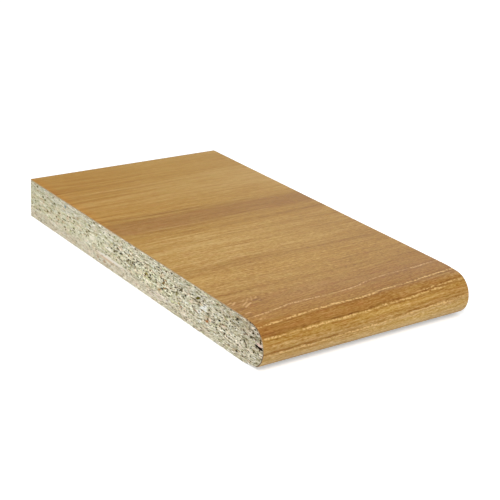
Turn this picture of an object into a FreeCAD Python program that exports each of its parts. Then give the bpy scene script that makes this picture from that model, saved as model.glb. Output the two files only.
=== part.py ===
"""A short length of window sill board: a chipboard core with a rounded nose, faced with wood-grain laminate.

The laminate lies on the top, wraps round the nose and is trimmed off on a shallow bevel under it.
Millimetres. X runs along the board and its grain, the nose faces -Y, and Z is up.
The origin is the middle of the rectangle that the board covers, on its underside.
"""

import FreeCAD
import Part
import math
import os

import Sketcher

# Every size of the board: its name, its value and what it measures
SIZES = [
    ("board_length", 125.0, "along the nose, between the two sawn ends"),
    ("board_depth", 225.0, "from the front of the nose to the back edge"),
    ("board_thickness", 22.0, "from the underside to the top of the laminate"),
    ("laminate_thickness", 0.6, "decorative laminate on the top and round the nose"),
    ("easing_radius", 90.0, "of the slight fall from the flat top into the nose"),
    ("easing_angle", 7.0, "degrees that the top has turned down where the nose begins"),
    ("nose_flat", 0.5, "upright strip at the front, between the nose's two arcs"),
    ("nose_bottom_radius", 10.0, "of the lower arc of the nose, outside the laminate"),
    ("bevel_setback", 5.0, "from the foot of the lower arc back to where the bevel meets the underside"),
    ("bevel_angle", 10.0, "degrees between the trimmed bevel and the underside"),
]

# Where a sketch keeps its own origin, and the two ends and the centre of a piece of its outline
ORIGIN = (-1, 1)
X_AXIS = -1
START = 1
END = 2
CENTRE = 3


def make_sheet(doc):
    """The spreadsheet that holds every size under its own name."""
    sheet = doc.addObject("Spreadsheet::Sheet", "Sizes")
    for row, (name, value, meaning) in enumerate(SIZES, start=1):
        sheet.set(f"A{row}", name)
        sheet.set(f"B{row}", str(value))
        sheet.set(f"C{row}", meaning)
        sheet.setAlias(f"B{row}", name)
    doc.recompute()
    return sheet


def nose_points(sheet, inset):
    """The corners and arc centres of the nose, this far inside the finished surface."""
    front = -sheet.board_depth / 2
    turn = math.radians(sheet.easing_angle)
    low = sheet.nose_bottom_radius
    # The upper arc fills the height left by the lower arc, the flat and the easing
    height_left = sheet.board_thickness - low - sheet.nose_flat
    upper = (height_left - sheet.easing_radius * (1 - math.cos(turn))) / math.cos(turn)
    upper_centre = FreeCAD.Vector(front + upper, low + sheet.nose_flat, 0)
    towards_easing = FreeCAD.Vector(-math.sin(turn), math.cos(turn), 0)
    easing_centre = upper_centre - towards_easing * (sheet.easing_radius - upper)
    return {
        "easing_centre": easing_centre,
        "easing_start": easing_centre + FreeCAD.Vector(0, sheet.easing_radius - inset, 0),
        "easing_end": upper_centre + towards_easing * (upper - inset),
        "upper_centre": upper_centre,
        "upper_end": FreeCAD.Vector(front + inset, upper_centre.y, 0),
        "lower_centre": FreeCAD.Vector(front + low, low, 0),
        "lower_start": FreeCAD.Vector(front + inset, low, 0),
        "lower_end": FreeCAD.Vector(front + low, inset, 0),
    }


def arc_between(centre, start, end):
    """The anticlockwise arc about a centre from start to end."""
    first = start - centre
    last = end - centre
    circle = Part.Circle(centre, FreeCAD.Vector(0, 0, 1), first.Length)
    return Part.ArcOfCircle(circle, math.atan2(first.y, first.x), math.atan2(last.y, last.x) % math.tau)


def drawn_size(sketch, kind, where):
    """The size as drawn, so that a new dimension leaves the outline where it is."""
    if kind == "Radius":
        return sketch.Geometry[where[0]].Radius
    if kind == "Angle":
        arc = sketch.Geometry[where[0]]
        return arc.LastParameter - arc.FirstParameter
    step = sketch.getPoint(*where[2:]) - sketch.getPoint(*where[:2])
    return step.x if kind == "DistanceX" else step.y


def size_constraint(sketch, name, expression, kind, *where):
    """A named dimension of the sketch that follows an expression of the sheet's sizes."""
    size = drawn_size(sketch, kind, where)
    number = sketch.addConstraint(Sketcher.Constraint(kind, *where, size))
    sketch.renameConstraint(number, name)
    return name, expression


def draw_surface(sketch, sheet, inset, label):
    """One face of the laminate: the flat top, the easing, the upper arc, the flat front and the lower arc.

    inset is nothing for the finished surface, and the laminate's thickness for the core's.
    Returns the numbers of the five pieces, in that order, and the sizes that hold them.
    """
    depth_in = "" if inset == 0 else " - Sizes.laminate_thickness"
    at = nose_points(sheet, inset)
    back_top = FreeCAD.Vector(sheet.board_depth / 2, at["easing_start"].y, 0)
    top, easing, upper, flat, lower = sketch.addGeometry(
        [
            Part.LineSegment(back_top, at["easing_start"]),
            arc_between(at["easing_centre"], at["easing_start"], at["easing_end"]),
            arc_between(at["upper_centre"], at["easing_end"], at["upper_end"]),
            Part.LineSegment(at["upper_end"], at["lower_start"]),
            arc_between(at["lower_centre"], at["lower_start"], at["lower_end"]),
        ],
        False,
    )
    sketch.addConstraint(
        [
            Sketcher.Constraint("Horizontal", top),
            Sketcher.Constraint("Vertical", flat),
            Sketcher.Constraint("Tangent", top, END, easing, START),
            Sketcher.Constraint("Tangent", easing, END, upper, START),
            Sketcher.Constraint("Tangent", upper, END, flat, START),
            Sketcher.Constraint("Tangent", flat, END, lower, START),
            Sketcher.Constraint("Vertical", lower, CENTRE, lower, END),
        ]
    )
    sizes = [
        size_constraint(
            sketch, f"{label}_back", "Sizes.board_depth / 2", "DistanceX", *ORIGIN, top, START
        ),
        size_constraint(
            sketch, f"{label}_height", f"Sizes.board_thickness{depth_in}", "DistanceY", *ORIGIN, top, START
        ),
        size_constraint(
            sketch, f"{label}_easing_radius", f"Sizes.easing_radius{depth_in}", "Radius", easing
        ),
        size_constraint(sketch, f"{label}_easing_angle", "Sizes.easing_angle * 1deg", "Angle", easing),
        size_constraint(sketch, f"{label}_flat", "Sizes.nose_flat", "DistanceY", flat, END, flat, START),
        size_constraint(
            sketch, f"{label}_lower_radius", f"Sizes.nose_bottom_radius{depth_in}", "Radius", lower
        ),
        size_constraint(
            sketch, f"{label}_lower_height", "Sizes.nose_bottom_radius", "DistanceY", *ORIGIN, lower, CENTRE
        ),
        size_constraint(
            sketch, f"{label}_front", f"Sizes.board_depth / 2{depth_in}", "DistanceX", flat, END, *ORIGIN
        ),
    ]
    return (top, easing, upper, flat, lower), sizes


def follow_sheet(sketch, sizes):
    """Ties the sketch's dimensions to the sheet once its outline is complete."""
    for name, expression in sizes:
        sketch.setExpression(f"Constraints.{name}", expression)


def new_sketch(body, name):
    """A sketch on the body's own upright plane across the board: its x is Y, and its y is Z."""
    plane = next(f for f in body.Origin.OriginFeatures if f.Role == "YZ_Plane")
    sketch = body.newObject("Sketcher::SketchObject", name)
    sketch.AttachmentSupport = [(plane, "")]
    sketch.MapMode = "FlatFace"
    return sketch


def extrude_outline(body, sketch):
    """Runs the outline along the whole board, half to each side of the middle."""
    pad = body.newObject("PartDesign::Pad", f"{body.Name}Length")
    pad.Profile = sketch
    pad.SideType = "Symmetric"
    pad.setExpression("Length", "Sizes.board_length")
    sketch.Document.recompute()
    return pad


def trim_bevel(body, sheet):
    """Takes off the wedge under the nose, where laminate and core are trimmed in one pass."""
    sketch = new_sketch(body, f"{body.Name}BevelOutline")
    front = -sheet.board_depth / 2
    run = sheet.nose_bottom_radius + sheet.bevel_setback
    rise = run * math.tan(math.radians(sheet.bevel_angle))
    corner = FreeCAD.Vector(front, 0, 0)
    heel = FreeCAD.Vector(front + run, 0, 0)
    toe = FreeCAD.Vector(front, rise, 0)
    under, slope, face = sketch.addGeometry(
        [Part.LineSegment(corner, heel), Part.LineSegment(heel, toe), Part.LineSegment(toe, corner)],
        False,
    )
    sketch.addConstraint(
        [
            Sketcher.Constraint("Coincident", under, END, slope, START),
            Sketcher.Constraint("Coincident", slope, END, face, START),
            Sketcher.Constraint("Coincident", face, END, under, START),
            Sketcher.Constraint("PointOnObject", under, START, X_AXIS),
            Sketcher.Constraint("Horizontal", under),
            Sketcher.Constraint("Vertical", face),
        ]
    )
    bevel_run = "(Sizes.nose_bottom_radius + Sizes.bevel_setback)"
    bevel_rise = f"{bevel_run} * tan(Sizes.bevel_angle * 1deg)"
    sizes = [
        size_constraint(sketch, "front", "Sizes.board_depth / 2", "DistanceX", under, START, *ORIGIN),
        size_constraint(sketch, "run", bevel_run, "DistanceX", under, START, under, END),
        size_constraint(sketch, "rise", bevel_rise, "DistanceY", face, END, face, START),
    ]
    follow_sheet(sketch, sizes)
    pocket = body.newObject("PartDesign::Pocket", f"{body.Name}Bevel")
    pocket.Profile = sketch
    pocket.SideType = "Symmetric"
    pocket.setExpression("Length", "Sizes.board_length * 2")
    sketch.Document.recompute()
    return pocket


def make_core(doc, sheet):
    """The chipboard: the board's section less the laminate's thickness on its top and nose."""
    body = doc.addObject("PartDesign::Body", "Core")
    body.Label = "chipboard_core"
    sketch = new_sketch(body, "CoreOutline")
    (top, _, _, _, lower), sizes = draw_surface(sketch, sheet, sheet.laminate_thickness, "core")
    at = nose_points(sheet, sheet.laminate_thickness)
    back = sheet.board_depth / 2
    rebate_foot = FreeCAD.Vector(at["lower_end"].x, 0, 0)
    back_foot = FreeCAD.Vector(back, 0, 0)
    back_top = FreeCAD.Vector(back, at["easing_start"].y, 0)
    rebate, underside, back_edge = sketch.addGeometry(
        [
            Part.LineSegment(at["lower_end"], rebate_foot),
            Part.LineSegment(rebate_foot, back_foot),
            Part.LineSegment(back_foot, back_top),
        ],
        False,
    )
    sketch.addConstraint(
        [
            Sketcher.Constraint("Coincident", lower, END, rebate, START),
            Sketcher.Constraint("Coincident", rebate, END, underside, START),
            Sketcher.Constraint("Coincident", underside, END, back_edge, START),
            Sketcher.Constraint("Coincident", back_edge, END, top, START),
            Sketcher.Constraint("Vertical", rebate),
            Sketcher.Constraint("Horizontal", underside),
            Sketcher.Constraint("Vertical", back_edge),
            Sketcher.Constraint("PointOnObject", underside, START, X_AXIS),
        ]
    )
    follow_sheet(sketch, sizes)
    extrude_outline(body, sketch)
    trim_bevel(body, sheet)
    return body


def make_laminate(doc, sheet):
    """The laminate: a skin of even thickness from the back edge, over the top and round the nose."""
    body = doc.addObject("PartDesign::Body", "Laminate")
    body.Label = "laminate_facing"
    sketch = new_sketch(body, "LaminateOutline")
    (top, _, _, _, lower), sizes = draw_surface(sketch, sheet, 0, "face")
    (glued_top, _, _, _, glued_lower), glued_sizes = draw_surface(
        sketch, sheet, sheet.laminate_thickness, "glue"
    )
    outside = nose_points(sheet, 0)
    inside = nose_points(sheet, sheet.laminate_thickness)
    back = sheet.board_depth / 2
    back_end, wrapped_end = sketch.addGeometry(
        [
            Part.LineSegment(
                FreeCAD.Vector(back, inside["easing_start"].y, 0),
                FreeCAD.Vector(back, outside["easing_start"].y, 0),
            ),
            Part.LineSegment(outside["lower_end"], inside["lower_end"]),
        ],
        False,
    )
    sketch.addConstraint(
        [
            Sketcher.Constraint("Coincident", back_end, START, glued_top, START),
            Sketcher.Constraint("Coincident", back_end, END, top, START),
            Sketcher.Constraint("Coincident", wrapped_end, START, lower, END),
            Sketcher.Constraint("Coincident", wrapped_end, END, glued_lower, END),
        ]
    )
    follow_sheet(sketch, sizes + glued_sizes)
    extrude_outline(body, sketch)
    trim_bevel(body, sheet)
    return body


def check_document(doc, bodies):
    """Stops with a plain message if an object failed or a piece isn't one sound solid."""
    for item in doc.Objects:
        if {"Invalid", "Error"} & set(item.State):
            raise RuntimeError(f"{item.Name} failed: {item.State}")
    for body in bodies:
        shape = body.Shape
        if shape.isNull() or not shape.isValid() or len(shape.Solids) != 1:
            raise RuntimeError(f"{body.Label} isn't one sound solid")


def main():
    doc = FreeCAD.newDocument("WindowSillBoard")
    sheet = make_sheet(doc)
    bodies = [make_core(doc, sheet), make_laminate(doc, sheet)]
    doc.recompute()
    check_document(doc, bodies)
    os.makedirs("parts", exist_ok=True)
    for body in bodies:
        body.Shape.exportStep(os.path.join("parts", f"{body.Label}.step"))
        box = body.Shape.BoundBox
        print(f"{body.Label}: {box.XLength:.2f} x {box.YLength:.2f} x {box.ZLength:.2f} mm, "
              f"{body.Shape.Volume / 1000:.2f} cm3")


main()
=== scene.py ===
"""The look of a short length of window sill board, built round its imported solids.

The chipboard gets relief made of single chips on its sawn faces, and the laminate a wood grain that
follows the sheet over the top and round the nose. Sizes here are in millimetres and are made metres
as the meshes are built. X runs along the grain, the nose faces -Y, and Z is up.
"""

import math

import bmesh
import bpy
import numpy as np
from mathutils import Matrix, Vector


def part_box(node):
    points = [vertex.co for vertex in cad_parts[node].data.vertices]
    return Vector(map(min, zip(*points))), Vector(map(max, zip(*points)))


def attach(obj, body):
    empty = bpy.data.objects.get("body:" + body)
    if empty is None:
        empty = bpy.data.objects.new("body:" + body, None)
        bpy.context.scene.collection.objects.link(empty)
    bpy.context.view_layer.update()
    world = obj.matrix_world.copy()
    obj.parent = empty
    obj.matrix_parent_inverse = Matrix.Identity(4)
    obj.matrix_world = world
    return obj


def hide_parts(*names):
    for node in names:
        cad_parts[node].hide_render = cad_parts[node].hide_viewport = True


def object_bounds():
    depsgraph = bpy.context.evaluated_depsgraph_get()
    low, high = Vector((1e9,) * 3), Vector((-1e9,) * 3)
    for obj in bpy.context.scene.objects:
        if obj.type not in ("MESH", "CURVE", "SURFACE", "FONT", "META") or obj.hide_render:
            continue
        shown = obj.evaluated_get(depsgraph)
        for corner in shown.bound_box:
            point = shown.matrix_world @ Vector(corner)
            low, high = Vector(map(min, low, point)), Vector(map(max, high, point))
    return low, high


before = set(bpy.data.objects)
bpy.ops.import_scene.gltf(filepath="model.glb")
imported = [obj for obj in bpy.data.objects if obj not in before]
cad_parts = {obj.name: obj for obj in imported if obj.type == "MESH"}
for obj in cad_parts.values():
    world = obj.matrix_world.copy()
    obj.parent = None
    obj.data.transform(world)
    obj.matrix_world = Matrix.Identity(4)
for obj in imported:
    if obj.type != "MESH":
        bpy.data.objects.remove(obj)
CAD_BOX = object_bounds()

MM = 0.001

# The board's section, as in its solids
EASING_RADIUS = 90.0
EASING_ANGLE = math.radians(7.0)
NOSE_FLAT = 0.5
LOWER_RADIUS = 10.0
BEVEL_SETBACK = 5.0
BEVEL_SLOPE = math.tan(math.radians(10.0))

LENGTH = (CAD_BOX[1][0] - CAD_BOX[0][0]) / MM
DEPTH = (CAD_BOX[1][1] - CAD_BOX[0][1]) / MM
THICKNESS = (CAD_BOX[1][2] - CAD_BOX[0][2]) / MM
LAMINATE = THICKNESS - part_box("chipboard_core")[1].z / MM

FRONT = -DEPTH / 2
BACK = DEPTH / 2
END = LENGTH / 2
UPPER_RADIUS = (
    THICKNESS - LOWER_RADIUS - NOSE_FLAT - EASING_RADIUS * (1 - math.cos(EASING_ANGLE))
) / math.cos(EASING_ANGLE)
LOWER_CENTRE = np.array([FRONT + LOWER_RADIUS, LOWER_RADIUS])
UPPER_CENTRE = np.array([FRONT + UPPER_RADIUS, LOWER_RADIUS + NOSE_FLAT])
INTO_EASING = np.array([-math.sin(EASING_ANGLE), math.cos(EASING_ANGLE)])
EASING_CENTRE = UPPER_CENTRE - INTO_EASING * (EASING_RADIUS - UPPER_RADIUS)
BEVEL_HEEL = FRONT + LOWER_RADIUS + BEVEL_SETBACK


def bevel_height(y):
    """Height of the trimmed bevel's plane at y."""
    return (BEVEL_HEEL - y) * BEVEL_SLOPE


def arc_points(centre, radius, start, end, step):
    """Points on an arc, given by angles from straight up towards the nose."""
    count = max(2, int(math.ceil(radius * abs(end - start) / step)) + 1)
    angles = np.linspace(start, end, count)
    return centre + radius * np.column_stack([-np.sin(angles), np.cos(angles)])


def surface_line(inset, step):
    """The laminate's face, inset by so much, as (y, z) from the back edge over the nose to the bevel."""
    top_z = THICKNESS - inset
    easing_y = EASING_CENTRE[0]
    count = int((BACK - easing_y) / step)
    flat_top = np.column_stack([np.linspace(BACK, easing_y, count), np.full(count, top_z)])
    easing = arc_points(EASING_CENTRE, EASING_RADIUS - inset, 0, EASING_ANGLE, step)
    upper = arc_points(UPPER_CENTRE, UPPER_RADIUS - inset, EASING_ANGLE, math.pi / 2, step)
    low, high = math.pi / 2, math.pi
    for _ in range(50):
        angle = (low + high) / 2
        y, z = LOWER_CENTRE + (LOWER_RADIUS - inset) * np.array([-math.sin(angle), math.cos(angle)])
        low, high = (angle, high) if z > bevel_height(y) else (low, angle)
    lower = arc_points(LOWER_CENTRE, LOWER_RADIUS - inset, math.pi / 2, low, step)
    return np.vstack([flat_top, easing[1:], upper[1:], lower])


def run_lengths(line):
    """Distance along a polyline at each of its points."""
    return np.concatenate([[0], np.cumsum(np.linalg.norm(np.diff(line, axis=0), axis=1))])


def new_piece(name, points, faces, node, material):
    """A mesh piece from points in millimetres that stands for a solid and rides with it."""
    mesh = bpy.data.meshes.new(name)
    mesh.from_pydata((np.asarray(points) * MM).tolist(), [], faces)
    mesh.materials.append(material)
    mesh.validate()
    piece = bpy.data.objects.new(name, mesh)
    bpy.context.scene.collection.objects.link(piece)
    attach(piece, "root")
    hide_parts(node)
    return piece


def set_attribute(piece, name, kind, values):
    """Stores one value for each point under a name that the material reads."""
    field = {"FLOAT": "value", "FLOAT_VECTOR": "vector", "FLOAT_COLOR": "color"}[kind]
    layer = piece.data.attributes.new(name, kind, "POINT")
    layer.data.foreach_set(field, np.asarray(values, np.float32).ravel())


class Nodes:
    """A material's node tree, with short calls that add a node and wire it up."""

    def __init__(self, name):
        self.material = bpy.data.materials.new(name)
        self.material.use_nodes = True
        self.tree = self.material.node_tree
        self.tree.nodes.clear()

    def add(self, kind, inputs=None, **settings):
        """A node with its settings, and values or other nodes' outputs for its inputs."""
        node = self.tree.nodes.new(kind)
        for key, value in settings.items():
            setattr(node, key, value)
        for key, value in (inputs or {}).items():
            self.feed(node.inputs[key], value)
        return node

    def feed(self, socket, value):
        if isinstance(value, bpy.types.NodeSocket):
            self.tree.links.new(value, socket)
        elif isinstance(value, tuple) and len(value) == 3 and socket.type == "RGBA":
            socket.default_value = (*value, 1)
        else:
            socket.default_value = value

    def attribute(self, name, output="Vector"):
        return self.add("ShaderNodeAttribute", attribute_name=name).outputs[output]

    def math(self, operation, *values, clamp=False):
        node = self.add("ShaderNodeMath", dict(enumerate(values)), operation=operation)
        node.use_clamp = clamp
        return node.outputs[0]

    def split(self, vector):
        return self.add("ShaderNodeSeparateXYZ", {0: vector}).outputs

    def join(self, x, y, z=0.0):
        return self.add("ShaderNodeCombineXYZ", {0: x, 1: y, 2: z}).outputs[0]

    def noise(self, vector, scale=1.0, detail=2.0, rough=0.5, output=0):
        node = self.add(
            "ShaderNodeTexNoise",
            {"Vector": vector, "Scale": scale, "Detail": detail, "Roughness": rough},
        )
        return node.outputs[output]

    def spread(self, value, low, high, to_low=0.0, to_high=1.0, smooth=True):
        """Maps low..high to to_low..to_high and holds the ends."""
        node = self.add(
            "ShaderNodeMapRange",
            {"Value": value, "From Min": low, "From Max": high, "To Min": to_low, "To Max": to_high},
        )
        node.interpolation_type = "SMOOTHSTEP" if smooth else "LINEAR"
        return node.outputs[0]

    def blend(self, factor, first, second, mode="MIX"):
        """Colours mixed by a factor."""
        node = self.add("ShaderNodeMix", data_type="RGBA", blend_type=mode)
        for socket, value in ((0, factor), (6, first), (7, second)):
            self.feed(node.inputs[socket], value)
        return node.outputs[2]

    def ramp(self, value, stops, easing="EASE"):
        """A colour for each place along a value, from (place, colour) stops."""
        node = self.add("ShaderNodeValToRGB", {0: value})
        ramp = node.color_ramp
        ramp.interpolation = easing
        while len(ramp.elements) < len(stops):
            ramp.elements.new(0.5)
        for element, (place, colour) in zip(ramp.elements, stops):
            element.position = place
            element.color = (*colour, 1)
        return node.outputs[0]

    def curve(self, value, points):
        """A smooth curve through (in, out) points, all between 0 and 1."""
        node = self.add("ShaderNodeFloatCurve", {"Value": value})
        line = node.mapping.curves[0]
        while len(line.points) < len(points):
            line.points.new(0.5, 0.5)
        for point, place in zip(line.points, points):
            point.location = place
        node.mapping.update()
        return node.outputs[0]

    def bump(self, height, distance, strength=1.0, normal=None):
        inputs = {"Height": height, "Distance": distance, "Strength": strength}
        if normal is not None:
            inputs["Normal"] = normal
        return self.add("ShaderNodeBump", inputs).outputs[0]

    def finish(self, colour, roughness, normal, **fixed):
        """The surface shader and the output."""
        inputs = {"Base Color": colour, "Roughness": roughness, "Normal": normal, **fixed}
        shader = self.add("ShaderNodeBsdfPrincipled", inputs)
        self.add("ShaderNodeOutputMaterial", {"Surface": shader.outputs[0]})
        return self.material


def srgb(red, green, blue):
    """Linear colour from everyday 0 to 255 values."""
    values = np.array([red, green, blue]) / 255
    return tuple(np.where(values <= 0.04045, values / 12.92, ((values + 0.055) / 1.055) ** 2.4).tolist())


# Chips

CELL = 0.12  # fineness of the chip pictures
CHIP_COLOURS = (
    # share, colour
    (0.32, srgb(244, 240, 222)),
    (0.28, srgb(226, 221, 196)),
    (0.17, srgb(204, 200, 168)),
    (0.09, srgb(178, 174, 140)),
    (0.06, srgb(208, 210, 164)),
    (0.07, srgb(232, 212, 188)),
    (0.05, srgb(212, 188, 152)),
    (0.03, srgb(244, 243, 236)),
    (0.01, srgb(200, 168, 128)),
)
# Painted shade: the dark bottom of the open gaps, where no chip covers the face
DEEP = srgb(84, 74, 46)

# Dark colours of pits and holes: painted shade inside them
PIT, DUSK, BLACK = srgb(88, 80, 22), srgb(52, 42, 12), srgb(12, 6, 2)
BROWN, ORANGE = srgb(116, 76, 38), srgb(170, 120, 76)
WHITE, SKIN, BLUE = srgb(244, 248, 248), srgb(250, 220, 208), srgb(136, 156, 160)
# What stands out on the photographed end
MARKS = (
    # distance from the nose, height, length, thickness, tilt, depth, colour
    (47.4, 13.4, 6.0, 0.8, -0.1, 0.03, WHITE),
    (49.4, 12.3, 5.0, 0.6, -0.1, 0.03, WHITE),
    (46.0, 12.4, 3.0, 0.6, 0.0, 0.03, WHITE),
    (46.6, 14.5, 3.4, 0.5, 0.0, 0.03, WHITE),
    (50.4, 10.9, 3.4, 0.5, 0.0, 0.03, WHITE),
    (154.2, 10.9, 5.6, 2.2, 0.0, 0.03, srgb(240, 232, 216)),
    (172.4, 17.6, 3.2, 1.2, 0.0, 0.03, srgb(240, 236, 220)),
    (134.0, 5.8, 32.0, 1.5, 0.0, 0.02, srgb(240, 232, 220)),
    (138.0, 4.5, 24.0, 0.9, 0.0, 0.02, srgb(218, 190, 156)),
    (136.5, 10.9, 8.0, 1.0, 0.0, 0.02, srgb(246, 238, 224)),
    (87.0, 4.2, 18.0, 0.7, 0.0, 0.02, srgb(236, 222, 214)),
    (90.0, 2.6, 14.0, 0.6, 0.0, 0.02, srgb(236, 222, 214)),
    (183.8, 18.8, 2.6, 1.3, 0.3, 0.05, BLUE),
    (44.5, 7.7, 3.0, 1.4, -0.3, 0.05, ORANGE),
    (68.6, 7.0, 2.4, 0.6, 0.5, 0.20, srgb(196, 128, 66)),
    (67.0, 6.0, 2.2, 0.6, -0.3, 0.20, srgb(150, 98, 48)),
    (54.4, 9.0, 5.5, 0.5, 0.22, 0.20, BROWN),
    (147.3, 2.8, 3.0, 1.5, 0.1, 0.05, srgb(168, 138, 106)),
    (140.4, 2.6, 3.2, 1.7, 0.1, 0.05, srgb(168, 136, 102)),
    (107.9, 2.1, 1.8, 0.7, 0.0, 0.05, srgb(176, 120, 78)),
    (86.4, 7.6, 3.0, 1.1, -0.4, 0.10, srgb(162, 134, 88)),
    (82.0, 9.8, 2.4, 0.8, -0.3, 0.10, srgb(150, 108, 44)),
    (82.6, 12.6, 2.8, 1.2, -0.4, 0.10, srgb(150, 126, 84)),
    (81.2, 14.4, 2.4, 0.8, -0.3, 0.10, srgb(180, 148, 104)),
    (98.6, 11.4, 3.0, 1.2, 0.1, 0.10, srgb(148, 132, 64)),
    (52.8, 16.3, 4.6, 1.4, -0.42, 0.15, srgb(96, 88, 16)),
    (37.5, 16.3, 2.2, 0.7, 0.0, 0.15, PIT),
    (61.5, 19.6, 3.4, 0.6, 0.0, 0.15, PIT),
)
# Holes between the chips, dark with painted shade, by distance from the nose and height
HOLES = (
    (2.1, 1.1, 0.18, BLACK, (
        (21.0, 18.6), (34.7, 12.1), (20.3, 2.9), (63.4, 13.4), (83.9, 8.9), (95.3, 11.9), (124.2, 12.8),
        (110.7, 11.8),
    )),
    (1.5, 0.85, 0.15, DUSK, (
        (10.1, 14.1), (24.2, 13.4), (31.9, 11.3), (36.8, 9.2), (44.0, 9.0), (48.4, 16.3), (27.0, 17.2), (71.1, 1.6), (103.4, 14.6),
        (13.3, 8.1), (8.8, 16.5), (57.0, 10.4), (38.9, 10.6), (28.6, 13.4), (79.2, 4.6), (108.3, 13.9),
        (112.0, 12.6), (111.4, 14.6), (83.0, 13.4), (89.7, 11.4), (101.6, 11.8), (127.6, 14.9),
    )),
    (1.6, 0.85, 0.15, PIT, (
        (43.8, 13.7), (56.1, 6.2), (59.4, 15.8), (28.7, 16.5), (65.2, 11.6), (68.3, 10.0), (68.0, 6.9), (71.5, 12.0),
        (50.1, 18.3), (26.6, 6.7), (29.1, 10.0), (36.4, 6.9), (63.4, 1.6), (76.1, 14.1),
        (79.2, 16.5), (84.1, 17.4), (87.5, 17.4), (91.1, 17.0), (90.4, 13.9), (79.3, 9.3),
        (78.2, 7.2), (93.4, 12.8), (95.0, 9.7), (97.8, 6.2), (103.0, 8.6),
        (115.3, 15.6), (113.2, 10.7), (117.4, 11.2), (119.1, 14.9),
        (119.5, 9.0), (113.5, 5.8), (127.6, 18.4), (125.5, 10.4), (128.3, 7.9), (138.8, 8.3),
        (141.6, 14.2), (144.4, 11.4), (146.8, 9.7),
    )),
    (1.5, 0.85, 0.12, BROWN, ((14.9, 13.7), (13.0, 14.4), (6.4, 14.4), (85.5, 14.6), (82.8, 12.4), (100.2, 9.7))),
    (2.4, 1.1, 0.1, srgb(116, 110, 70), (
        (152.1, 20.0), (157.0, 17.1), (157.4, 13.6), (159.8, 12.5), (174.2, 9.4), (173.8, 13.5), (178.4, 14.3),
        (191.2, 12.6), (184.3, 6.9), (204.6, 9.2), (207.5, 15.0), (210.0, 16.0), (196.3, 16.4), (216.9, 19.9),
    )),
)
# The chip torn out at the nose, its hollow dark with painted shade, with the pale one that it lay against
TORN = (
    (3.4, 13.0, 4.4, 1.3, 0.12, 0.0, SKIN),
    (5.0, 11.7, 4.8, 1.2, 0.04, 0.3, srgb(30, 12, 2)),
    (2.8, 11.5, 4.2, 1.4, -0.02, 0.3, srgb(30, 12, 2)),
    (2.6, 14.5, 1.7, 1.0, 0.3, 0.1, srgb(84, 54, 26)),
    (2.4, 15.9, 1.4, 0.8, 0.5, 0.1, srgb(110, 80, 50)),
    (3.2, 17.2, 1.2, 0.7, 0.6, 0.1, srgb(140, 108, 76)),
)


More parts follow.
